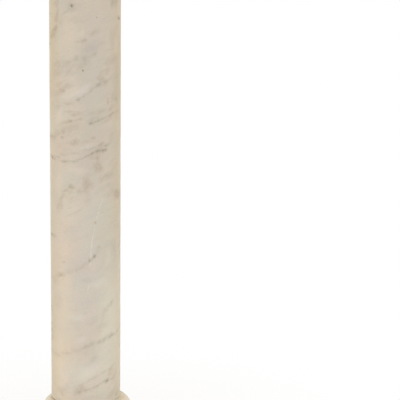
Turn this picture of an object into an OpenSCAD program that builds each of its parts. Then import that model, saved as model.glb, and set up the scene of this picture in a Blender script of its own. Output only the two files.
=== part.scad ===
// Plain Doric column of white marble: a square plinth with a torus, an unfluted
// shaft that doesn't taper, and a capital with necking, annulets, echinus and abacus.
// Millimetres, +Z up, origin in the middle of the plinth's underside.

/* [Shaft] */
// Diameter of the shaft, the same at its foot and at its head
shaft_d = 170; // [150:5:170]
// Length of the shaft from joint to joint
shaft_h = 1012; // [800:1:1200]
// How far the shaft and the capital were set off the middle of the base, towards -X
off_centre = 3.5; // [0:0.5:4]

/* [Base] */
// Side of the square plinth
plinth_side = 220; // [220:1:260]
// Height of the plinth
plinth_h = 39.5; // [30:0.5:60]
// Radius of the torus moulding, which is half of its height
torus_r = 25; // [18:1:26]
// Height of the raised seat that the shaft stands on
base_seat_h = 3.5; // [3:0.5:6]

/* [Capital] */
// Height of the seat between the shaft and the astragal
cap_seat_h = 3; // [2:1:6]
// Radius of the astragal bead at the foot of the capital
astragal_r = 7; // [5:1:9]
// Height of the plain necking
neck_h = 26; // [16:1:40]
// Number of annulets under the echinus
annulets = 3; // [1:1:3]
// Height of one annulet
annulet_h = 3; // [2:0.5:4]
// How far each annulet stands out past the one below it
annulet_step = 1.5; // [1:0.25:1.5]
// Radius of the echinus, a quarter round
echinus_r = 14; // [10:1:16]
// Side of the square abacus
abacus_side = 212; // [211:1:213]
// Height of the abacus
abacus_h = 29; // [20:1:40]

/* [Hidden] */
$fn = 96;
marble = [0.81, 0.77, 0.70];
shaft_r = shaft_d / 2;
arris = 1;       // chamfer along each worked edge
seat_inset = 1;  // how far a seat lies back from the face of the shaft
torus_ring_r = shaft_r - 1.5;
torus_z = plinth_h + torus_r;
base_h = plinth_h + 2 * torus_r + base_seat_h;
shaft_top = base_h + shaft_h;
neck_z = cap_seat_h + 2 * astragal_r;
annulets_z = neck_z + neck_h;
echinus_z = annulets_z + annulets * annulet_h;
abacus_z = echinus_z + echinus_r;
echinus_foot_r = shaft_r + annulets * annulet_step;

// Rectangle centred on the origin with its corners cut off at 45 degrees.
module cut_rectangle(w, h, cut) {
    x = w / 2;
    y = h / 2;
    polygon([
        [x, cut - y],
        [x, y - cut],
        [x - cut, y],
        [cut - x, y],
        [-x, y - cut],
        [-x, cut - y],
        [cut - x, -y],
        [x - cut, -y]
    ]);
}

// Square slab standing on z = 0, with a small chamfer along all its edges.
module slab(side, h) {
    intersection() {
        linear_extrude(h) cut_rectangle(side, side, arris);
        for (turn = [0, 90])
            translate([0, 0, h / 2]) rotate([90, 0, turn])
                linear_extrude(side, center = true) cut_rectangle(side, h, arris);
    }
}

// Half outline, from the axis out to r, between two heights.
module band(r, z_low, z_high) {
    translate([0, z_low]) square([r, z_high - z_low]);
}

// Half outline of a bead: half a circle standing on a band that reaches to the axis.
module bead(ring_r, tube_r, z_low) {
    band(ring_r, z_low, z_low + 2 * tube_r);
    translate([ring_r, z_low + tube_r]) intersection() {
        circle(tube_r);
        translate([-tube_r / 2, -tube_r]) square([1.5 * tube_r, 2 * tube_r]);
    }
}

module base() {
    color(marble) {
        slab(plinth_side, plinth_h);
        rotate_extrude() {
            band(torus_ring_r, plinth_h / 2, torus_z);
            bead(torus_ring_r, torus_r, plinth_h);
            band(shaft_r - seat_inset, torus_z, base_h);
        }
    }
}

module shaft() {
    color(marble)
        translate([-off_centre, 0, base_h]) rotate_extrude() polygon([
            [0, 0],
            [shaft_r - arris, 0],
            [shaft_r, arris],
            [shaft_r, shaft_h - arris],
            [shaft_r - arris, shaft_h],
            [0, shaft_h]
        ]);
}

// Quarter round that swells from foot_r at z_low to foot_r + r at its top.
module ovolo(foot_r, r, z_low) {
    band(foot_r, z_low, z_low + r);
    translate([foot_r, z_low + r]) intersection() {
        circle(r);
        translate([0, -r]) square(r);
    }
}

module capital() {
    color(marble)
        translate([-off_centre, 0, shaft_top]) {
            rotate_extrude() {
                band(shaft_r - seat_inset, 0, cap_seat_h + astragal_r);
                bead(shaft_r, astragal_r, cap_seat_h);
                band(shaft_r, neck_z - astragal_r, annulets_z);
                for (i = [1:annulets])
                    band(shaft_r + i * annulet_step, annulets_z + (i - 1) * annulet_h, echinus_z);
                ovolo(echinus_foot_r, echinus_r, echinus_z);
                band(echinus_foot_r, echinus_z, abacus_z + abacus_h / 2);
            }
            translate([0, 0, abacus_z]) slab(abacus_side, abacus_h);
        }
}

base();
shaft();
capital();
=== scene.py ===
"""Looks of a plain Doric column of veined white marble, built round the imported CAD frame.

Each of the three stone blocks is one closed mesh: rings of points that follow the block's outline,
from a square plan to a round one, worn and chipped along its arrises. One marble pattern, cut from
a different part of the stone for each block, gives clouds, bedding and fine wisps. The shaft also has
its own veins, pits and a healed crack.
"""

import math

import bpy
import numpy as np
from mathutils import Matrix, Vector


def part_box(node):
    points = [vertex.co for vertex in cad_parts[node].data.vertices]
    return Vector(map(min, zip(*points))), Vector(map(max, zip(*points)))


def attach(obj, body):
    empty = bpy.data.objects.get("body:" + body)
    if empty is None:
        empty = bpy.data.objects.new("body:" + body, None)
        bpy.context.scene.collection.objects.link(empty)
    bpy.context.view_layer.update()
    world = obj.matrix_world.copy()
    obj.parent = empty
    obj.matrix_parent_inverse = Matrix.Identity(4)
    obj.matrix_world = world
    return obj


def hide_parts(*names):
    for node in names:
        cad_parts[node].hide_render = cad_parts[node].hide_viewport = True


MM = 0.001
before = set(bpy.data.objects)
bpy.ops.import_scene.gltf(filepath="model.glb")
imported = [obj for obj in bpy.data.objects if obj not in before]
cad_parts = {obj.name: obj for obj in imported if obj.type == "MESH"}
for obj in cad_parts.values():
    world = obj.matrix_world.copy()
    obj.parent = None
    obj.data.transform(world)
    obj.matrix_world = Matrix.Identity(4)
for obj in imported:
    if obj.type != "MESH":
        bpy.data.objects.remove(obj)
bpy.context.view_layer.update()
base_low, base_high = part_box("base")
shaft_low, shaft_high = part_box("shaft")
capital_low, capital_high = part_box("capital")

# ---------------------------------------------------------------- sizes, in metres

SHAFT_R = (shaft_high.x - shaft_low.x) / 2
SHAFT_X = (shaft_high.x + shaft_low.x) / 2
FOOT_Z = shaft_low.z
HEAD_Z = shaft_high.z
PLINTH_HALF = (base_high.x - base_low.x) / 2
ABACUS_HALF = (capital_high.x - capital_low.x) / 2

# What lies inside a block's box, the same as in the CAD model
PLINTH_H = 39.5 * MM
TORUS_R = 25 * MM
TORUS_RING_R = SHAFT_R - 1.5 * MM
SEAT_INSET = 1 * MM
CAP_SEAT_H = 3 * MM
ASTRAGAL_R = 7 * MM
NECK_H = 26 * MM
ANNULETS = 3
ANNULET_H = 3 * MM
ANNULET_STEP = 1.5 * MM
ECHINUS_R = 14 * MM
ABACUS_H = 29 * MM

# Radii to which the arrises are worn
SQUARE_ARRIS = 1.6 * MM
SHAFT_ARRIS = 1.3 * MM
SEAT_ARRIS = 0.7 * MM
SMALL_ARRIS = 0.45 * MM

HUB_R = 10 * MM  # the innermost ring of each end face
OUTLINE_STEP = 2.6 * MM  # between the rings of the base and of the capital
END_H = 4 * MM  # the stretch at each end of the shaft that holds its arris


# ---------------------------------------------------------------- helpers for shapes


def waves(points, length, seed):
    """A smooth random value from about -1 to 1 at each point, with features of the given length."""
    count = 14
    draw = np.random.default_rng(seed)
    way = draw.normal(size=(count, 3))
    way /= np.linalg.norm(way, axis=1)[:, None]
    turn = 2 * math.pi / (length * draw.uniform(0.7, 1.6, count))
    phase = draw.uniform(0, 2 * math.pi, count)
    spread = 0.6 * math.sqrt(2 / count)  # brings nearly every sum between -1 and 1
    return np.sin((points @ way.T) * turn + phase).sum(1) * spread


def drawn_apart(even, amount):
    """An even share of a stretch, moved towards its nearer end: not at all for amount 0, most for 1."""
    eased = (1 - math.cos(math.pi * even)) / 2
    return (1 - amount) * even + amount * eased


# ---------------------------------------------------------------- outlines
# Each is a list of (radius or half side, height, squareness), from the middle of the lower face to the
# middle of the upper one. A squareness of 0 is round and 1 is square.


def arc(centre_r, centre_z, r, start, end, steps):
    """Points of a round moulding, with angles in degrees from straight out, up positive."""
    turns = np.radians(np.linspace(start, end, steps + 1))
    return [(centre_r + r * math.cos(t), centre_z + r * math.sin(t), 0.0) for t in turns]


def base_outline():
    """From the middle of the underside, out and up over the plinth and the torus to the seat."""
    top = FOOT_Z - base_low.z
    seat_r = SHAFT_R - SEAT_INSET
    torus_z = PLINTH_H + TORUS_R
    return [
        (HUB_R, 0, 1.0),
        (PLINTH_HALF, 0, 1.0),
        (PLINTH_HALF, PLINTH_H, 1.0),
        (PLINTH_HALF - 9 * MM, PLINTH_H, 1.0),  # from here on the plan turns round
        *arc(TORUS_RING_R, torus_z, TORUS_R, -90, 90, 44),
        (seat_r, torus_z + TORUS_R, 0.0),
        (seat_r, top, 0.0),
        (HUB_R, top, 0.0),
    ]


def capital_outline():
    """From the middle of the joint, out and up over the mouldings to the middle of the abacus's top."""
    top = capital_high.z - capital_low.z
    seat_r = SHAFT_R - SEAT_INSET
    neck_z = CAP_SEAT_H + 2 * ASTRAGAL_R
    annulets_z = neck_z + NECK_H
    echinus_z = annulets_z + ANNULETS * ANNULET_H
    abacus_z = echinus_z + ECHINUS_R
    echinus_foot = SHAFT_R + ANNULETS * ANNULET_STEP
    outline = [(HUB_R, 0, 0.0), (seat_r, 0, 0.0), (seat_r, CAP_SEAT_H, 0.0)]
    outline += arc(SHAFT_R, CAP_SEAT_H + ASTRAGAL_R, ASTRAGAL_R, -90, 90, 20)
    outline.append((SHAFT_R, annulets_z, 0.0))
    for i in range(ANNULETS):
        r = SHAFT_R + (i + 1) * ANNULET_STEP
        z = annulets_z + i * ANNULET_H
        outline += [(r, z, 0.0), (r, z + ANNULET_H, 0.0)]
    outline += arc(echinus_foot, abacus_z, ECHINUS_R, -88, 0, 16)
    outline += [
        (ABACUS_HALF - 2.2 * MM, abacus_z, 1.0),  # from here on the plan is square
        (ABACUS_HALF, abacus_z, 1.0),
        (ABACUS_HALF, top, 1.0),
        (HUB_R, top, 1.0),
    ]
    return outline


def shaft_outline():
    """A plain drum."""
    length = HEAD_Z - FOOT_Z
    return [(HUB_R, 0, 0.0), (SHAFT_R, 0, 0.0), (SHAFT_R, length, 0.0), (HUB_R, length, 0.0)]


def corner_turn(before, here, after):
    """The signed turn of an outline at a point, in radians: positive at an arris, negative in a crease."""
    a = np.subtract(here, before)[:2]
    b = np.subtract(after, here)[:2]
    return math.atan2(a[0] * b[1] - a[1] * b[0], float(a @ b))


def soften(outline, round_arris):
    """The outline with each sharp corner rounded, by no more than the room beside it allows."""
    out = [outline[0]]
    for before, here, after in zip(outline, outline[1:], outline[2:]):
        turn = corner_turn(before, here, after)
        back, ahead = np.subtract(before, here), np.subtract(after, here)
        reach = min(np.linalg.norm(back[:2]), np.linalg.norm(ahead[:2])) * 0.45
        if abs(turn) < math.radians(20):
            out.append(here)
            continue
        arris = SQUARE_ARRIS if here[2] > 0.5 else round_arris
        cut = min(arris * math.tan(abs(turn) / 2), reach)
        back, ahead = (v * cut / np.linalg.norm(v[:2]) for v in (back, ahead))
        for t in np.linspace(0, 1, 6):
            p = np.array(here) + back * (1 - t) ** 2 + ahead * t**2
            out.append((p[0], p[1], here[2]))
    out.append(outline[-1])
    return out


def divide(outline, step):
    """The outline with its long stretches divided, finely next to their ends and coarsely between."""
    out = [outline[0]]
    for a, b in zip(outline, outline[1:]):
        a, b = np.array(a), np.array(b)
        pieces = max(1, math.ceil(np.linalg.norm((b - a)[:2]) / step))
        for i in range(1, pieces + 1):
            out.append(tuple(a + (b - a) * drawn_apart(i / pieces, 0.55)))
    return np.array(out)


ARRIS_REACH = 3.2 * MM
CREASE_REACH = 7 * MM
FULL_TURN = 1.2  # radians of turn from which an arris or a crease counts in full


def edge_marks(outline):
    """For each outline point, how near it is to an arris and to a crease, from 0 to 1."""
    run = np.concatenate([[0], np.cumsum(np.linalg.norm(np.diff(outline[:, :2], axis=0), axis=1))])
    turns = np.zeros(len(outline))
    for i in range(1, len(outline) - 1):
        turns[i] = corner_turn(outline[i - 1], outline[i], outline[i + 1])
    apart = np.abs(run[:, None] - run[None, :])
    arris = np.exp(-((apart / ARRIS_REACH) ** 2)) @ np.clip(turns, 0, None)
    crease = np.exp(-((apart / CREASE_REACH) ** 2)) @ np.clip(-turns, 0, None)
    return np.clip(arris / FULL_TURN, 0, 1), np.clip(crease / FULL_TURN, 0, 1)


# ---------------------------------------------------------------- plans: the bearings of a ring's points

PER_SIDE = 104
PER_CORNER = 6
CORNER_SHARE = 0.02  # of half a side, at each of its ends


def square_bearings():
    """Closer together towards the corners of a square, and closest round them."""
    bearings = []
    for side in range(4):
        quarter = side * math.pi / 2
        for i in range(PER_SIDE):
            across = (2 * drawn_apart(i / PER_SIDE, 0.5) - 1) * (1 - CORNER_SHARE)
            bearings.append(quarter + math.atan(across))
        edge = math.atan(1 - CORNER_SHARE)
        for i in range(PER_CORNER):
            bearings.append(quarter + edge + (math.pi / 2 - 2 * edge) * i / PER_CORNER)
    return np.array(bearings)


def gathered(low, high, step, places, reach, fine):
    """Values from low to high, a step apart, but only fine apart within 0.6 of reach from each place.

    Between that and two reaches away the distance grows from one to the other.
    """
    here = low
    found = [low]
    while here < high:
        away = min((abs(here - p) for p in places), default=reach)
        here += fine + (step - fine) * min(1, max(0, away / reach - 0.6) / 1.4)
        found.append(min(here, high))
    return np.array(found)


def plan_reach(bearings, size, square):
    """How far out a ring's points lie: on a circle, a square with rounded corners, or between them."""
    c, s = np.abs(np.cos(bearings)), np.abs(np.sin(bearings))
    straight = size / np.maximum(c, s)
    inner = size - SQUARE_ARRIS
    along = inner * (c + s)
    rounded = along + np.sqrt(np.clip(along**2 - 2 * inner**2 + SQUARE_ARRIS**2, 0, None))
    in_corner = np.minimum(straight * c, straight * s) > inner
    squared = np.where(in_corner, rounded, straight)
    return square * squared + (1 - square) * size


# ---------------------------------------------------------------- one closed mesh from rings


def ring_faces(rings, per_ring):
    """Quads between neighbouring rings, and a fan of triangles to each of the two end points."""
    last = (rings - 1) * per_ring
    low_end = rings * per_ring
    high_end = low_end + 1
    faces = []
    for low in range(0, last, per_ring):
        high = low + per_ring
        for j in range(per_ring):
            k = (j + 1) % per_ring
            faces.append((low + j, low + k, high + k, high + j))
    for j in range(per_ring):
        k = (j + 1) % per_ring
        faces.append((low_end, k, j))
        faces.append((high_end, last + j, last + k))
    return faces


def ring_mesh(name, outline, bearings, centre):
    """A closed mesh of rings, with the attributes arris and crease."""
    arris, crease = edge_marks(outline)
    widest = outline[:, 0].max()
    to_corner = np.abs((bearings % (math.pi / 2)) - math.pi / 4)
    rows, arris_rows, crease_rows = [], [], []
    for (size, z, square), arris_here, crease_here in zip(outline, arris, crease):
        reach = plan_reach(bearings, size, square)
        height = np.full(len(bearings), z)
        rows.append(centre + np.stack([reach * np.cos(bearings), reach * np.sin(bearings), height], 1))
        at_rim = size > 0.9 * widest
        corner = square * at_rim * np.exp(-((to_corner * reach / ARRIS_REACH) ** 2))
        arris_rows.append(np.maximum(arris_here, corner))
        crease_rows.append(np.full(len(bearings), crease_here))
    ends = [centre + np.array([0, 0, outline[k, 1]]) for k in (0, -1)]
    points = np.vstack([*rows, *ends])
    faces = ring_faces(len(outline), len(bearings))
    mesh = bpy.data.meshes.new(name)
    mesh.from_pydata(points.tolist(), [], faces)
    mesh.update()
    for label, part in (("arris", arris_rows), ("crease", crease_rows)):
        layer = mesh.attributes.new(label, "FLOAT", "POINT")
        values = np.concatenate([*part, [0, 0]]).astype(np.float32)
        layer.data.foreach_set("value", values)
    return mesh


def vertex_rows(mesh, kind):
    """One row of three numbers for each vertex: its place, "co", or its "normal"."""
    values = np.empty(len(mesh.vertices) * 3)
    mesh.vertices.foreach_get(kind, values)
    return values.reshape(-1, 3)


def wear(mesh, scoops, hollow, seed):
    """Works the stone by hand: shallow hollows all over, then a scoop at each (centre, radius).

    The attribute chip says how much of a scoop was taken out at each point.
    """
    points = vertex_rows(mesh, "co")
    broad = waves(points, 90 * MM, seed)
    fine = waves(points, 30 * MM, seed + 1)
    depth = hollow * np.clip(0.5 + 0.35 * broad + 0.15 * fine, 0, None)
    points = points - vertex_rows(mesh, "normal") * depth[:, None]
    rough = 1 + 0.05 * waves(points, 6 * MM, seed + 2) + 0.03 * waves(points, 2.5 * MM, seed + 3)
    full_chip = 0.6 * MM
    chip = np.zeros(len(points))
    for centre, radius in scoops:
        away = points - centre
        far = np.linalg.norm(away, axis=1)
        inside = far < radius * rough
        moved = centre + away[inside] * (radius * rough[inside] / far[inside])[:, None]
        taken = np.linalg.norm(moved - points[inside], axis=1)
        chip[inside] = np.maximum(chip[inside], taken / full_chip)
        points[inside] = moved
    mesh.vertices.foreach_set("co", points.ravel())
    layer = mesh.attributes.new("chip", "FLOAT", "POINT")
    layer.data.foreach_set("value", np.clip(chip, 0, 1).astype(np.float32))
    mesh.update()


def square_chips(half, heights, centre, count, seed):
    """Chips at random places along the arrises of a square slab: (outside centre, radius) pairs."""
    draw = np.random.default_rng(seed)
    low, high = heights
    found = []
    for _ in range(count):
        out = draw.integers(4) * math.pi / 2
        normal = np.array([math.cos(out), math.sin(out), 0])
        along = np.array([-math.sin(out), math.cos(out), 0])
        on_vertical_corner = draw.uniform() < 0.22
        up = -1 if draw.uniform() < 0.45 else 1
        place = draw.uniform(-1, 1)
        radius = draw.uniform(2.5, 9) * MM
        depth = draw.uniform(0.6, 1.6) * MM * (0.6 + radius / (8 * MM))
        if on_vertical_corner:
            edge = half * (normal + along) + np.array([0, 0, draw.uniform(low, high)])
            way = normal + along + np.array([0, 0, draw.uniform(-0.4, 0.4)])
        else:
            edge = half * (normal + place * along) + np.array([0, 0, high if up > 0 else low])
            way = normal + 0.3 * place * along + np.array([0, 0, up * draw.uniform(0.7, 1.3)])
        way /= np.linalg.norm(way)
        found.append((centre + edge + way * (radius - depth), radius))
    return found


def round_chips(drum_r, heights, centre, count, seed):
    """Chips at random bearings along the lower and the upper arris of a drum."""
    draw = np.random.default_rng(seed)
    found = []
    for _ in range(count):
        turn = draw.uniform(0, 2 * math.pi)
        end = draw.integers(2)
        out = np.array([math.cos(turn), math.sin(turn), 0])
        radius = draw.uniform(2, 5) * MM
        depth = draw.uniform(0.5, 1.3) * MM
        edge = drum_r * out + np.array([0, 0, heights[end]])
        way = out + np.array([0, 0, (end * 2 - 1) * draw.uniform(0.3, 0.9)])
        way /= np.linalg.norm(way)
        found.append((centre + edge + way * (radius - depth), radius))
    return found


# ---------------------------------------------------------------- what shows on the face of the shaft

# A place on the face is (mm to the right of its middle, mm above its foot), seen from -Y.
# A mark is an oval: its place, its slope in degrees, up to the right, half its length and half its
# width in mm, and its strength.
# Most places were read from the photograph, unrolled onto the shaft. 46 of them, mostly clouds, stains and
# tints, lie where a scratch program found that a render differed from the photograph.
GREY_VEINS = [
    # the short line under the big pit
    ((-45, 946), 54, 13, 1.4, 0.50),
    # the slanting line across the upper middle
    ((-16, 743), 20, 5, 3.0, 0.70),
    ((-2, 752), 30, 14, 1.8, 0.30),
    ((16, 766), 34, 18, 2.6, 0.48),
    ((30, 776), 34, 14, 3.0, 0.48),
    ((52, 787), 20, 20, 2.4, 0.30),
    ((74, 794), 14, 14, 2.0, 0.28),
    # the line that starts at a knot
    ((14, 688), 15, 8, 3.0, 1.00),
    ((25, 692), 20, 16, 2.2, 0.75),
    ((42, 698), 18, 16, 2.0, 0.58),
    ((60, 705), 23, 14, 2.0, 0.38),
    ((76, 710), 10, 10, 1.8, 0.30),
    # the main vein, and the branch above it
    ((-46, 594), 5, 18, 2.4, 0.60),
    ((-28, 597), 8, 15, 2.0, 0.50),
    ((-12, 603), 18, 14, 1.8, 0.45),
    ((4, 610), 26, 14, 2.0, 0.60),
    ((16, 617), 32, 12, 2.6, 0.85),
    ((28, 622), 10, 13, 3.0, 1.05),
    ((44, 623), 2, 9, 2.8, 1.10),
    ((16, 628), 22, 20, 2.0, 0.36),
    ((38, 638), 24, 9, 2.8, 0.60),
    ((49, 634), 10, 6, 2.8, 0.80),
    ((-70, 604), 32, 12, 1.8, 0.50),
    ((-50, 611), 12, 18, 1.6, 0.30),
    ((-25, 616), 10, 20, 1.4, 0.24),
    # the vein that the crack crosses
    ((21, 368), 30, 5, 2.8, 1.20),
    ((8, 358), 60, 5, 3.4, 0.80),
    ((14, 362), 38, 12, 2.8, 0.45),
    ((-5, 347), 38, 16, 4.0, 0.28),
    ((-20, 336), 30, 18, 4.0, 0.25),
    ((-40, 327), 18, 18, 3.6, 0.26),
    # the faint one at the lower right
    ((46, 233), 40, 9, 5.0, 0.36),
    ((54, 241), 44, 9, 3.4, 0.28),
    ((61, 248), 48, 13, 3.2, 0.36),
    # the long soft vein
    ((-70, 118), 14, 20, 4.2, 0.28),
    ((-48, 127), 16, 24, 4.0, 0.28),
    ((-22, 136), 20, 20, 4.2, 0.25),
    ((-2, 145), 26, 15, 4.6, 0.42),
    ((12, 151), 28, 13, 4.2, 0.46),
    ((36, 158), 13, 20, 3.8, 0.40),
    ((61, 165), 16, 12, 3.2, 0.60),
    ((77, 171), 14, 10, 2.8, 0.30),
    # the two next to the foot
    ((-26, 26), 38, 9, 3.4, 0.26),
    ((-16, 32), 22, 13, 3.4, 0.48),
    ((6, 38), 18, 18, 3.0, 0.40),
    ((26, 46), 22, 16, 3.0, 0.46),
    ((42, 53), 26, 12, 2.8, 0.50),
    ((52, 55), 12, 6, 3.0, 1.30),
    ((63, 58), 20, 5, 1.8, 0.90),
    ((-6, 53), 22, 18, 2.4, 0.20),
    ((16, 66), 24, 22, 2.8, 0.26),
    ((42, 78), 24, 20, 2.8, 0.28),
    ((62, 87), 26, 16, 2.8, 0.30),
]
GREY_CLOUDS = [
    ((68, 972), 80, 16, 10, 0.90),
    ((-31, 960), 20, 13, 11, 0.50),
    ((-26, 928), 10, 18, 8, 0.30),
    ((-4, 881), 8, 9, 5, 0.62),
    ((-16, 878), 10, 12, 4, 0.35),
    ((37, 870), 18, 12, 5, 0.40),
    ((14, 863), 24, 22, 13, 0.26),
    ((21, 846), 35, 12, 6, 0.62),
    ((-1, 838), 30, 16, 7, 0.55),
    ((-22, 836), 40, 12, 6, 0.50),
    ((62, 834), 20, 20, 9, 0.40),
    ((-38, 828), 20, 14, 7, 0.35),
    ((-3, 826), 46, 22, 10, 0.45),
    ((46, 808), 20, 20, 8, 0.40),
    ((41, 779), 26, 18, 6, 0.70),
    ((30, 714), 6, 32, 6, 0.42),
    ((20, 697), 18, 18, 7, 0.40),
    ((18, 652), 10, 5, 4, 0.60),
    ((60, 652), 80, 20, 8, 0.36),
    ((4, 646), 16, 18, 3, 0.26),
    ((34, 629), 16, 12, 6, 0.50),
    ((18, 609), 20, 16, 6, 0.45),
    ((49, 558), 22, 21, 8, 0.66),
    ((46, 532), 14, 18, 8, 0.24),
    ((-10, 529), 20, 12, 6, 0.40),
    ((56, 520), 34, 18, 8, 0.40),
    ((4, 508), 84, 20, 8, 0.20),
    ((-34, 508), 80, 14, 8, 0.28),
    ((67, 392), 88, 16, 8, 0.30),
    ((32, 384), 76, 16, 6, 0.42),
    ((0, 308), 12, 16, 5, 0.20),
    ((44, 216), 60, 14, 8, 0.30),
    ((20, 208), 10, 26, 8, 0.20),
    ((38, 194), 16, 22, 11, 0.30),
    ((42, 163), 14, 22, 6, 0.34),
    ((0, 130), 26, 14, 5, 0.18),
    ((20, 115), 18, 11, 6, 0.32),
    ((-12, 28), 24, 13, 5, 0.40),
]
STAINS = [
    ((-66, 966), 84, 14, 3, 0.60),
    ((-65, 936), 84, 30, 3.5, 0.70),
    ((80, 930), 90, 7, 4, 0.90),
    ((-57, 923), 84, 16, 7, 0.28),
    ((-70, 906), 74, 15, 3, 0.80),
    ((22, 899), 24, 18, 6, 0.50),
    ((-75, 889), 76, 17, 3.5, 0.75),
    ((64, 886), 86, 26, 9, 0.26),
    ((-62, 822), 30, 26, 8, 0.36),
    ((-40, 808), 26, 12, 4, 0.30),
    ((-65, 804), 60, 16, 7, 0.40),
    ((36, 791), -28, 11, 6, 0.70),
    ((-62, 776), 44, 13, 6, 0.35),
    ((-44, 772), 28, 18, 5, 0.50),
    ((-53, 765), 24, 9, 5, 1.00),
    ((-62, 758), 48, 24, 7, 0.50),
    ((64, 744), 84, 14, 6, 0.40),
    ((72, 740), 84, 6, 4, 0.70),
    ((52, 739), 84, 9, 5, 0.60),
    ((-39, 733), 8, 16, 5, 0.65),
    ((-70, 730), 84, 22, 7, 0.24),
    ((60, 720), 60, 11, 6, 0.50),
    ((-38, 714), 4, 17, 3, 0.45),
    ((-22, 714), 10, 13, 5, 0.40),
    ((-29, 708), 20, 7, 4, 0.60),
    ((60, 706), 20, 14, 3, 0.60),
    ((-18, 698), 24, 15, 4, 0.55),
    ((55, 696), 20, 18, 5, 0.40),
    ((-38, 693), 22, 9, 4, 0.95),
    ((-46, 687), 25, 11, 3, 0.55),
    ((-32, 678), 20, 26, 11, 0.40),
    ((-52, 668), 64, 13, 4, 0.65),
    ((-67, 660), 66, 12, 5, 0.55),
    ((-55, 653), 10, 4, 4, 0.70),
    ((-77, 649), 60, 9, 5, 0.75),
    ((-28, 642), 8, 16, 6, 0.62),
    ((28, 602), -80, 17, 4, 0.60),
    ((-78, 599), 40, 6, 4, 0.90),
    ((31, 582), -50, 14, 9, 0.65),
    ((3, 543), 86, 22, 8, 0.72),
    ((10, 538), 20, 12, 7, 0.40),
    ((-31, 533), 14, 9, 5, 1.00),
    ((-45, 526), 35, 12, 3, 0.70),
    ((-34, 525), 24, 10, 5, 0.35),
    ((77, 512), -66, 17, 7, 1.00),
    ((-55, 508), 70, 20, 3, 0.55),
    ((-60, 488), 76, 20, 4, 0.45),
    ((-79, 410), 80, 5, 4, 0.90),
    ((-53, 352), 30, 5, 4, 0.60),
    ((-58, 320), 14, 9, 5, 0.90),
    ((-66, 314), 40, 8, 4, 0.50),
    ((-72, 304), 88, 16, 5, 0.35),
    ((-66, 248), 86, 26, 8, 0.22),
    ((59, 74), 62, 16, 7, 0.34),
    ((70, 66), 84, 26, 6, 0.20),
    ((-12, 41), 12, 18, 10, 0.55),
    ((-58, 32), 20, 16, 7, 0.40),
    ((-55, 22), -40, 9, 4, 0.55),
    ((62, 20), 30, 20, 9, 0.40),
    ((76, 12), 88, 14, 6, 0.50),
    ((-64, 2), 2, 20, 5, 0.60),
    ((-36, 0), 2, 20, 4, 0.40),
]
# The healed crack, white and nearly upright, and an ochre spot on it
CRACK = [
    ((40, 504), 70, 9, 1.4, 0.60),
    ((34, 488), 74, 13, 1.5, 0.90),
    ((31, 472), 82, 8, 1.6, 1.00),
    ((38, 468), 2, 9, 1.4, 0.75),
    ((27, 463), 56, 7, 1.8, 0.90),
    ((21, 432), 86, 14, 1.6, 0.70),
    ((18, 414), 78, 14, 1.8, 0.85),
    ((14, 396), 80, 16, 2.0, 1.00),
    ((12, 372), 88, 18, 1.9, 0.95),
    ((11, 350), 72, 9, 1.9, 0.90),
    ((6, 290), 80, 13, 2.0, 1.00),
]
CRACK_SPOTS = [((22, 450), 70, 5.0, 3.8, 0.50)]
# Pits: place, and radius in mm
PITS = [
    ((-31, 961), 3.0),
    ((-5, 811), 2.4),
    ((27, 933), 1.1),
    ((80, 930), 1.8),
    ((-78, 599), 1.8),
    ((-79, 410), 1.8),
    ((52, 55), 1.2),
]
DEPTH = 70 * MM  # how far a mark goes into the stone
DIP = 12  # how steeply the sheets of the veins rise towards the back, in degrees


def on_face(place):
    """The point on the shaft's surface at a place seen from -Y."""
    x, z = place[0] * MM, place[1] * MM
    return np.array([SHAFT_X + x, -math.sqrt(max(SHAFT_R**2 - x**2, 0)), FOOT_Z + z])


def pit_scoops():
    """A scoop for each pit: (outside centre, radius) pairs."""
    found = []
    for place, r in PITS:
        at = on_face(place)
        out = np.array([at[0] - SHAFT_X, at[1], 0]) / SHAFT_R
        radius = r * MM
        found.append((at + out * radius * 0.45, radius * 1.1))
    return found


# ---------------------------------------------------------------- the three blocks


def make_block(name, mesh, node):
    """One smooth block of stone that stands for a CAD node."""
    piece = bpy.data.objects.new(name, mesh)
    bpy.context.scene.collection.objects.link(piece)
    for face in mesh.polygons:
        face.use_smooth = True
    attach(piece, "root")
    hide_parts(node)
    return piece


def make_base():
    centre = np.array([(base_low.x + base_high.x) / 2, (base_low.y + base_high.y) / 2, base_low.z])
    outline = divide(soften(base_outline(), SEAT_ARRIS), OUTLINE_STEP)
    mesh = ring_mesh("marble_base", outline, square_bearings(), centre)
    chips = square_chips(PLINTH_HALF, (0, PLINTH_H), centre, count=70, seed=21)
    wear(mesh, chips, hollow=0.5 * MM, seed=5)
    return make_block("marble_base", mesh, "base")


def make_capital():
    centre = np.array([SHAFT_X, 0, capital_low.z])
    outline = divide(soften(capital_outline(), SMALL_ARRIS), OUTLINE_STEP)
    mesh = ring_mesh("marble_capital", outline, square_bearings(), centre)
    top = capital_high.z - capital_low.z
    chips = square_chips(ABACUS_HALF, (top - ABACUS_H, top), centre, count=60, seed=12)
    wear(mesh, chips, hollow=0.5 * MM, seed=8)
    return make_block("marble_capital", mesh, "capital")


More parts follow.
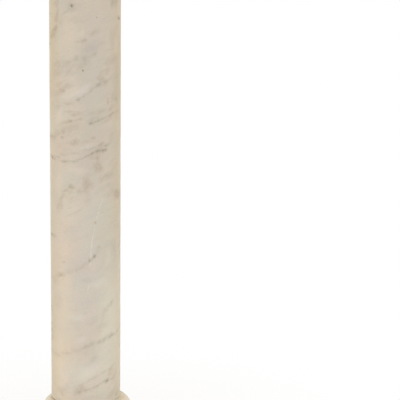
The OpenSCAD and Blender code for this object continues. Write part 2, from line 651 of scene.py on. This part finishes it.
def make_shaft():
    """The shaft's rings and bearings lie closer together where there is a pit."""
    centre = np.array([SHAFT_X, 0, FOOT_Z])
    length = HEAD_Z - FOOT_Z
    ends = divide(soften(shaft_outline(), SHAFT_ARRIS), 2.5 * MM)
    foot = [row for row in ends if row[1] < END_H]
    head = [row for row in ends if row[1] > length - END_H]
    pit_heights = [place[1] * MM for place, _ in PITS]
    heights = gathered(END_H, length - END_H, 7 * MM, pit_heights, 7 * MM, 0.8 * MM)
    sides = [(SHAFT_R, z, 0.0) for z in heights]
    outline = np.array([*foot, *sides, *head])
    pit_bearings = [math.asin(place[0] * MM / SHAFT_R) - math.pi / 2 for place, _ in PITS]
    step, reach, fine = np.radians((2, 2.4, 0.45))
    bearings = gathered(-math.pi, math.pi, step, pit_bearings, reach, fine)[:-1]
    mesh = ring_mesh("marble_shaft", outline, bearings, centre)
    chips = round_chips(SHAFT_R, (0, length), centre, count=16, seed=4)
    wear(mesh, pit_scoops() + chips, hollow=0.35 * MM, seed=3)
    return make_block("marble_shaft", mesh, "shaft")


# ---------------------------------------------------------------- colours and node helpers


def srgb(red, green, blue):
    """A display colour from 11 to 255 a channel, as the linear colour that renders as it."""
    linear = [((c / 255 + 0.055) / 1.055) ** 2.4 for c in (red, green, blue)]
    return (*linear, 1.0)


class Tree:
    """Adds nodes to a node tree, called t below, with a method for each kind that the materials use."""

    def __init__(self, tree):
        self.tree = tree

    def node(self, kind, inputs, **settings):
        node = self.tree.nodes.new(kind)
        for key, value in settings.items():
            setattr(node, key, value)
        for key, value in inputs.items():
            if isinstance(value, bpy.types.NodeSocket):
                self.tree.links.new(value, node.inputs[key])
            else:
                node.inputs[key].default_value = value
        return node

    def add(self, kind, inputs, output=0, **settings):
        return self.node(kind, inputs, **settings).outputs[output]

    def math(self, operation, *values, clamp=False):
        return self.add("ShaderNodeMath", dict(enumerate(values)), operation=operation, use_clamp=clamp)

    def vector(self, operation, *values, output=0):
        return self.add("ShaderNodeVectorMath", dict(enumerate(values)), output, operation=operation)

    def scaled(self, vector, factor):
        return self.add("ShaderNodeVectorMath", {0: vector, "Scale": factor}, operation="SCALE")

    def product(self, first, *others):
        for other in others:
            first = self.math("MULTIPLY", first, other)
        return first

    def noise(self, where, scale, detail, roughness=0.5, output="Fac"):
        inputs = {"Vector": where, "Scale": scale, "Detail": detail, "Roughness": roughness}
        return self.add("ShaderNodeTexNoise", inputs, output)

    def off_middle(self, noise):
        """How far a noise is from its middle value: 0 along winding sheets."""
        return self.math("ABSOLUTE", self.math("SUBTRACT", noise, 0.5))

    def sway(self, where, scale, detail, roughness=0.5):
        """A vector of up to half a unit each way, which changes smoothly from place to place."""
        colour = self.noise(where, scale, detail, roughness, output="Color")
        return self.vector("SUBTRACT", colour, (0.5, 0.5, 0.5))

    def moved(self, where, *sways):
        """The coordinates, moved by each (sway, reach)."""
        for sway, reach in sways:
            where = self.vector("ADD", where, self.scaled(sway, reach))
        return where

    def fade(self, value, low, high, at_low=0.0, at_high=1.0):
        """A smooth step from at_low to at_high as value goes from low to high.

        The node's own clamp stays off: the smooth step has ends already, and each clamp would hold
        a place in Cycles's stack, which overflows with this many marks.
        """
        inputs = {"Value": value, "From Min": low, "From Max": high, "To Min": at_low, "To Max": at_high}
        return self.add("ShaderNodeMapRange", inputs, interpolation_type="SMOOTHSTEP", clamp=False)

    def mix(self, share, a, b, blend="MIX"):
        return self.add("ShaderNodeMix", {0: share, 6: a, 7: b}, 2, data_type="RGBA", blend_type=blend)

    def turned(self, where, turn, shift=(0, 0, 0)):
        turn = tuple(math.radians(angle) for angle in turn)
        return self.add("ShaderNodeMapping", {"Vector": where, "Location": shift, "Rotation": turn})

    def attribute(self, name):
        return self.add("ShaderNodeAttribute", {}, "Fac", attribute_name=name)


def emptied(owner):
    """The node tree of a material or a world, with no node in it."""
    owner.use_nodes = True
    owner.node_tree.nodes.clear()
    return Tree(owner.node_tree)


# ---------------------------------------------------------------- marble

CREAM = srgb(210, 199, 183)
ROSE = srgb(211, 196, 180)
SAGE = srgb(202, 199, 181)
COOL = srgb(196, 189, 180)
GREY = srgb(170, 159, 141)
DARK = srgb(110, 100, 80)
BROWN = srgb(164, 142, 116)
OCHRE = srgb(190, 142, 78)
STRAW = srgb(206, 188, 152)
PALE = srgb(226, 221, 208)
IVORY = srgb(246, 231, 200)
# Warm grime for the creases, partly painted shade
GRIME_AND_SHADE = srgb(206, 182, 140)
# Tints of the shaft's face, broad ones and local ones: a mark each, and its colour. The broad ones are
# painted light and shade.
TINTS_AND_PAINTED_LIGHT = [
    # Painted shade below the capital and down the right edge, and painted warm light on the upper left
    # edge.
    (((0, 900), 90, 330, 120, 0.35), srgb(190, 178, 163)),
    (((-84, 860), 90, 230, 28, 0.60), STRAW),
    (((80, 800), 90, 220, 38, 0.60), srgb(186, 174, 152)),
    (((76, 560), 90, 220, 38, 0.25), srgb(186, 176, 152)),
    # Painted light along the lower edges.
    (((-58, 200), 90, 400, 42, 0.52), srgb(225, 210, 188)),
    (((-68, 90), 90, 120, 24, 0.48), srgb(232, 215, 190)),
    (((77, 180), 90, 240, 24, 0.42), srgb(228, 220, 198)),
    (((-40, 896), 84, 70, 24, 0.26), srgb(224, 204, 184)),
    (((-36, 650), 70, 110, 40, 0.40), srgb(200, 184, 168)),
    (((12, 820), 84, 190, 44, 0.45), COOL),
    (((12, 862), 36, 44, 26, 0.35), srgb(190, 180, 174)),
    (((20, 620), 84, 170, 56, 0.50), srgb(190, 180, 169)),
    (((8, 330), 88, 330, 58, 0.45), srgb(202, 197, 190)),
    (((44, 440), 88, 150, 40, 0.45), srgb(198, 194, 178)),
    (((16, 430), 84, 56, 18, 0.36), srgb(198, 193, 177)),
    (((54, 170), 88, 240, 46, 0.55), srgb(221, 217, 199)),
    (((-64, 540), 88, 30, 11, 0.36), srgb(228, 210, 190)),
    (((-46, 66), 80, 26, 11, 0.36), srgb(231, 212, 192)),
    (((53, 362), 86, 34, 12, 0.30), srgb(217, 214, 199)),
    (((-12, 70), 6, 80, 70, 0.50), srgb(215, 210, 196)),
    (((-34, 756), 46, 40, 14, 0.32), srgb(222, 211, 196)),
    (((-60, 704), 74, 26, 9, 0.36), srgb(226, 211, 195)),
    (((-8, 764), 40, 36, 13, 0.48), srgb(216, 208, 200)),
    (((2, 632), 18, 34, 7, 0.40), srgb(210, 206, 198)),
    (((-16, 574), 10, 30, 12, 0.35), srgb(216, 206, 194)),
    (((-22, 218), 12, 30, 14, 0.40), srgb(220, 213, 202)),
    (((30, 300), 6, 36, 14, 0.35), srgb(216, 213, 200)),
    (((8, 84), 26, 46, 22, 0.45), srgb(222, 215, 202)),
    (((74, 868), 88, 34, 14, 0.40), srgb(222, 212, 196)),
    (((76, 678), 88, 26, 12, 0.35), srgb(222, 212, 194)),
    (((-12, 164), 24, 24, 10, 0.35), srgb(222, 212, 202)),
    (((-10, 899), 24, 20, 10, 0.32), srgb(218, 206, 192)),
]


def oval(t, where, mark):
    """The mark's strength in its middle, fading to 0 at its outline."""
    place, slope, half_length, half_width, strength = mark
    turn = (math.radians(DIP), -math.radians(slope), 0)
    scale = (half_length * MM, DEPTH, half_width * MM)
    settings = {"Vector": where, "Location": tuple(on_face(place)), "Rotation": turn, "Scale": scale}
    local = t.add("ShaderNodeMapping", settings, vector_type="TEXTURE")
    inside = t.add("ShaderNodeTexGradient", {"Vector": local}, "Fac", gradient_type="SPHERICAL")
    return t.fade(inside, 0, 0.85, 0, strength)


def wider(mark, times):
    """The mark, grown by as much all round as makes it that many times as wide."""
    place, slope, half_length, half_width, strength = mark
    return place, slope, half_length + half_width * (times - 1), half_width * times, strength


def covered(t, where, marks, times=1):
    """The strongest of the marks at each point, each of them that many times as wide."""
    strongest = 0.0
    for mark in marks:
        strongest = t.math("MAXIMUM", strongest, oval(t, where, wider(mark, times)))
    return strongest


def bedding(t, where, length, width):
    """Coordinates in which a noise lies in layers that rise to the right, drawn out along them."""
    turn = (math.radians(DIP), math.radians(-24), 0)
    settings = {"Vector": where, "Rotation": turn, "Scale": (length, width, 1)}
    return t.add("ShaderNodeMapping", settings, vector_type="TEXTURE")


def stone(t, where):
    """The colour of the marble that all three blocks share."""
    bent = t.moved(where, (t.sway(where, 7, 2), 60 * MM))
    layers = bedding(t, bent, 2.6, 2.2)
    colour = t.mix(t.fade(t.noise(where, 6, 3), 0.36, 0.64), ROSE, CREAM)
    patches = t.noise(t.turned(where, (40, 10, 60)), 17, 4, 0.55)
    colour = t.mix(t.fade(patches, 0.44, 0.70, 0, 0.5), colour, SAGE)
    clouds = t.noise(layers, 30, 5, 0.55)
    colour = t.mix(t.fade(clouds, 0.40, 0.76, 0, 0.6), colour, COOL)
    streaks = t.noise(bedding(t, bent, 4.5, 3), 110, 5, 0.6)
    colour = t.mix(t.fade(streaks, 0.50, 0.76, 0, 0.26), colour, GREY)
    # Thin wisps
    wisp = t.fade(t.off_middle(t.noise(layers, 16, 5, 0.62)), 0, 0.020, 1, 0)
    shown = t.fade(t.noise(where, 13, 2), 0.52, 0.66)
    colour = t.mix(t.product(wisp, shown, 0.20), colour, GREY)
    # Rusty freckles, here and there
    freckle = t.fade(t.noise(where, 190, 3, 0.6), 0.60, 0.72)
    rusty = t.fade(t.noise(where, 14, 2), 0.54, 0.68)
    return t.mix(t.product(freckle, rusty, 0.45), colour, BROWN)


def long_veins(t, where, colour, shown):
    """Long grey veins, for every face that has no marks of its own."""
    layers = bedding(t, t.moved(where, (t.sway(where, 9, 3), 34 * MM)), 5, 4)
    off_sheet = t.off_middle(t.noise(layers, 17, 2, 0.4))
    line = t.fade(off_sheet, 0, 0.012, 1, 0)
    halo = t.fade(off_sheet, 0, 0.05, 0.4, 0)
    broken = t.fade(t.noise(where, 40, 4, 0.65), 0.42, 0.60)
    shown = t.product(shown, t.fade(t.noise(where, 6, 1), 0.44, 0.58))
    colour = t.mix(t.product(halo, shown), colour, GREY)
    return t.mix(t.product(line, broken, shown, 0.5), colour, DARK)


def behind(t, where, start, end):
    """0 on the shaft's face and 1 behind it, changing between two distances in front of its axis.

    The distances are in radii of the shaft.
    """
    return t.fade(t.add("ShaderNodeSeparateXYZ", {0: where}, 1), -start * SHAFT_R, -end * SHAFT_R)


def painted_warm_sides(t, where, ragged, colour):
    """Painted warm light: straw at the sides and the back, as if lit warm from there, with untinted places
    at the back.
    """
    untinted = t.product(behind(t, where, 0.1, -0.5), t.fade(t.noise(where, 8, 3), 0.36, 0.58), 0.8)
    share = t.math("SUBTRACT", behind(t, ragged, 0.82, 0.28), untinted)
    return t.mix(t.product(share, 0.42), colour, STRAW)


def shaft_marks(t, where, colour):
    """The shaft's tints, the broad ones painted light and shade, its painted warm sides, and its own
    clouds, stains, veins, pits and healed crack, over the stone.
    """
    bend = t.sway(where, 30, 3, 0.6)
    fray = t.sway(where, 170, 3, 0.65)
    bent = t.moved(where, (bend, 9 * MM), (fray, 4 * MM))
    ragged = t.moved(where, (bend, 16 * MM), (fray, 8 * MM))
    # The broad tints paint light and shade; the local ones are the stone's own tones.
    for mark, tint in TINTS_AND_PAINTED_LIGHT:
        colour = t.mix(oval(t, ragged, mark), colour, tint)
    # Painted warm light on the shaft's sides and back.
    colour = painted_warm_sides(t, where, ragged, colour)
    colour = long_veins(t, where, colour, behind(t, where, 0.45, 0.1))
    cloudy = t.fade(t.noise(where, 75, 4, 0.6), 0.30, 0.66, 0.35, 1.15)
    grainy = t.fade(t.noise(where, 150, 4, 0.7), 0.34, 0.62, 0.5, 1.0)
    colour = t.mix(t.product(covered(t, ragged, GREY_CLOUDS, 1.7), cloudy, 0.75), colour, GREY)
    colour = t.mix(t.product(covered(t, ragged, STAINS, 1.7), grainy, 0.6), colour, BROWN)
    # Each vein has a wide soft halo and a dark line.
    colour = t.mix(t.product(covered(t, ragged, GREY_VEINS, 2.8), cloudy, 0.45), colour, GREY)
    colour = t.mix(t.product(covered(t, bent, GREY_VEINS, 1.4), grainy, 0.34), colour, DARK)
    pits = [(place, 0, r, r, 1) for place, r in PITS]
    colour = t.mix(t.product(covered(t, bent, pits, 1.6), 0.7), colour, DARK)
    colour = t.mix(t.product(covered(t, bent, CRACK), 0.55), colour, PALE)
    return t.mix(covered(t, bent, CRACK_SPOTS), colour, OCHRE)


def weathered(t, here, colour):
    """The stone's skin: its colour, roughness and bump.

    Worn arrises are paler, creases are warm with grime that is partly painted shade, and chips show rough
    fresh stone.
    """
    chip = t.attribute("chip")
    grain = t.noise(here, 420, 3, 0.7)
    worn = t.product(t.attribute("arris"), t.fade(t.noise(here, 60, 3), 0.35, 0.65, 0.1, 0.5))
    colour = t.mix(worn, colour, PALE)
    # Warm darkening in the creases: partly grime, partly painted shade.
    grime_and_shade = t.product(t.attribute("crease"), t.fade(t.noise(here, 45, 4), 0.3, 0.7, 0.1, 0.35))
    colour = t.mix(grime_and_shade, colour, GRIME_AND_SHADE)
    colour = t.mix(t.product(chip, t.fade(grain, 0.35, 0.65, 0.15, 0.5)), colour, COOL)
    sugar = t.mix(t.fade(grain, 0.3, 0.7), srgb(246, 246, 246), srgb(255, 255, 255))
    colour = t.mix(1.0, colour, sugar, blend="MULTIPLY")
    honed = t.fade(t.noise(here, 22, 4, 0.6), 0.3, 0.75, 0.36, 0.50)
    roughness = t.math("ADD", honed, t.product(t.math("MAXIMUM", chip, grime_and_shade), 0.3), clamp=True)
    pores = t.product(grain, t.math("ADD", 0.06, t.product(chip, 1.2)))
    height = t.math("ADD", pores, t.product(t.noise(here, 38, 3), 0.5))
    bump = t.add("ShaderNodeBump", {"Strength": 0.6, "Distance": 0.6 * MM, "Height": height})
    return colour, roughness, bump


def marble(name, turn, shift, marks=False):
    """One block's marble. turn and shift say from where in the stone it was cut."""
    material = bpy.data.materials.new(name)
    t = emptied(material)
    here = t.add("ShaderNodeTexCoord", {}, "Object")
    place = t.turned(here, turn, shift)
    colour = stone(t, place)
    if marks:
        colour = shaft_marks(t, here, colour)
    else:
        # Paler stone for the base and the capital; on the torus the paleness is partly painted light from
        # above.
        colour = long_veins(t, place, t.mix(0.55, colour, IVORY), 0.8)
    colour, roughness, bump = weathered(t, here, colour)
    shader = t.add(
        "ShaderNodeBsdfPrincipled",
        {
            "Base Color": colour,
            "Roughness": roughness,
            "Normal": bump,
            "IOR": 1.5,
            "Specular IOR Level": 0.3,
            "Subsurface Weight": 0.12,
            "Subsurface Radius": (1.0, 0.7, 0.45),
            "Subsurface Scale": 6 * MM,
        },
    )
    t.node("ShaderNodeOutputMaterial", {"Surface": shader})
    return material


# ---------------------------------------------------------------- stage, lights and camera


def seen_directly(t):
    """1 for what the camera sees straight, in a reflection or through glass."""
    path = t.node("ShaderNodeLightPath", {})
    kinds = ("Camera", "Glossy", "Transmission")
    straight, glossy, through = (path.outputs[f"Is {kind} Ray"] for kind in kinds)
    return t.math("MAXIMUM", t.math("MAXIMUM", straight, glossy), through)


def make_floor():
    """A white floor that keeps the column's shadow close by and blends into the backdrop further off."""
    at = (0, 0, base_low.z)
    bpy.ops.mesh.primitive_circle_add(vertices=96, radius=60, fill_type="NGON", location=at)
    floor = bpy.context.object
    floor.name = "floor"
    material = bpy.data.materials.new("pale_floor")
    t = emptied(material)
    away = t.vector("LENGTH", t.add("ShaderNodeTexCoord", {}, "Object"), output="Value")
    matt = t.add("ShaderNodeBsdfDiffuse", {"Color": srgb(248, 247, 245)})
    white = t.add("ShaderNodeEmission", {"Color": (1, 1, 1, 1), "Strength": 1.0})
    share = t.product(seen_directly(t), t.fade(away, 0.15, 0.9, 0.7, 1))
    surface = t.add("ShaderNodeMixShader", {0: share, 1: matt, 2: white})
    t.node("ShaderNodeOutputMaterial", {"Surface": surface})
    floor.data.materials.append(material)


def make_world():
    """Even light, stronger from above, and warmer and weaker from behind the column."""
    world = bpy.data.worlds.new("studio")
    bpy.context.scene.world = world
    t = emptied(world)
    way = t.add("ShaderNodeTexCoord", {}, "Generated")
    _, back, above = t.node("ShaderNodeSeparateXYZ", {0: way}).outputs
    colour = t.mix(t.fade(back, -0.2, 0.8), (1, 1, 1, 1), (1, 0.95, 0.84, 1))
    strength = t.product(t.fade(above, 0, 1, 0.67, 1.22), t.fade(back, 0.2, 0.9, 1, 0.75))
    even = t.add("ShaderNodeBackground", {"Color": colour, "Strength": strength})
    white = t.add("ShaderNodeBackground", {"Color": (1, 1, 1, 1), "Strength": 1.0})
    surface = t.add("ShaderNodeMixShader", {0: seen_directly(t), 1: even, 2: white})
    t.node("ShaderNodeOutputWorld", {"Surface": surface})


def make_lamp(name, place, watts, colour):
    """A wide round lamp that looks at the lower end of the column."""
    data = bpy.data.lights.new(name, "AREA")
    data.shape = "DISK"
    data.size = 2.0
    data.energy = watts
    data.color = colour
    lamp = bpy.data.objects.new(name, data)
    bpy.context.scene.collection.objects.link(lamp)
    lamp.location = place
    way = Vector((0, 0, 0.2)) - lamp.location
    lamp.rotation_euler = way.to_track_quat("-Z", "Y").to_euler()


def make_camera():
    """The lens is a little over the column's head and looks down on its foot, past it to the right.

    Its values come from a fit to the shaft's outline and the torus in the photograph.
    """
    distance = 3.481
    height = FOOT_Z + 1.1147
    down = math.radians(10.152)
    right_turn = math.radians(4.572)
    roll = math.radians(0.673)
    ahead = Vector((math.sin(right_turn), math.cos(right_turn), 0))
    forward = ahead * math.cos(down) - Vector((0, 0, math.sin(down)))
    side = Vector((math.cos(right_turn), -math.sin(right_turn), 0))
    up = side.cross(forward)
    right = side * math.cos(roll) + up * math.sin(roll)
    top = up * math.cos(roll) - side * math.sin(roll)
    data = bpy.data.cameras.new("camera")
    data.lens = 130.9
    data.clip_end = 200
    camera = bpy.data.objects.new("camera", data)
    bpy.context.scene.collection.objects.link(camera)
    turn = Matrix((right, top, -forward)).transposed().to_4x4()
    camera.matrix_world = Matrix.Translation((SHAFT_X, -distance, height)) @ turn
    bpy.context.scene.camera = camera


# ---------------------------------------------------------------- the scene

make_camera()
base = make_base()
shaft = make_shaft()
capital = make_capital()

for piece, turn, shift, marks in (
    (base, (20, -15, 140), (1.7, 0.6, 0.3), False),
    (shaft, (0, 0, 0), (0, 0, 0), True),
    (capital, (-10, 12, 75), (0.4, 2.1, 0.9), False),
):
    slot = piece.name.replace("marble_", "") + "_marble"
    piece.data.materials.append(marble(slot, turn, shift, marks))

make_floor()
make_world()
make_lamp("key", (-2.6, -2.8, 0.6), 16, (1.0, 0.97, 0.92))
make_lamp("fill", (2.0, -2.6, 0.4), 9, (1.0, 1.0, 0.98))
bpy.context.scene.view_settings.view_transform = "Standard"
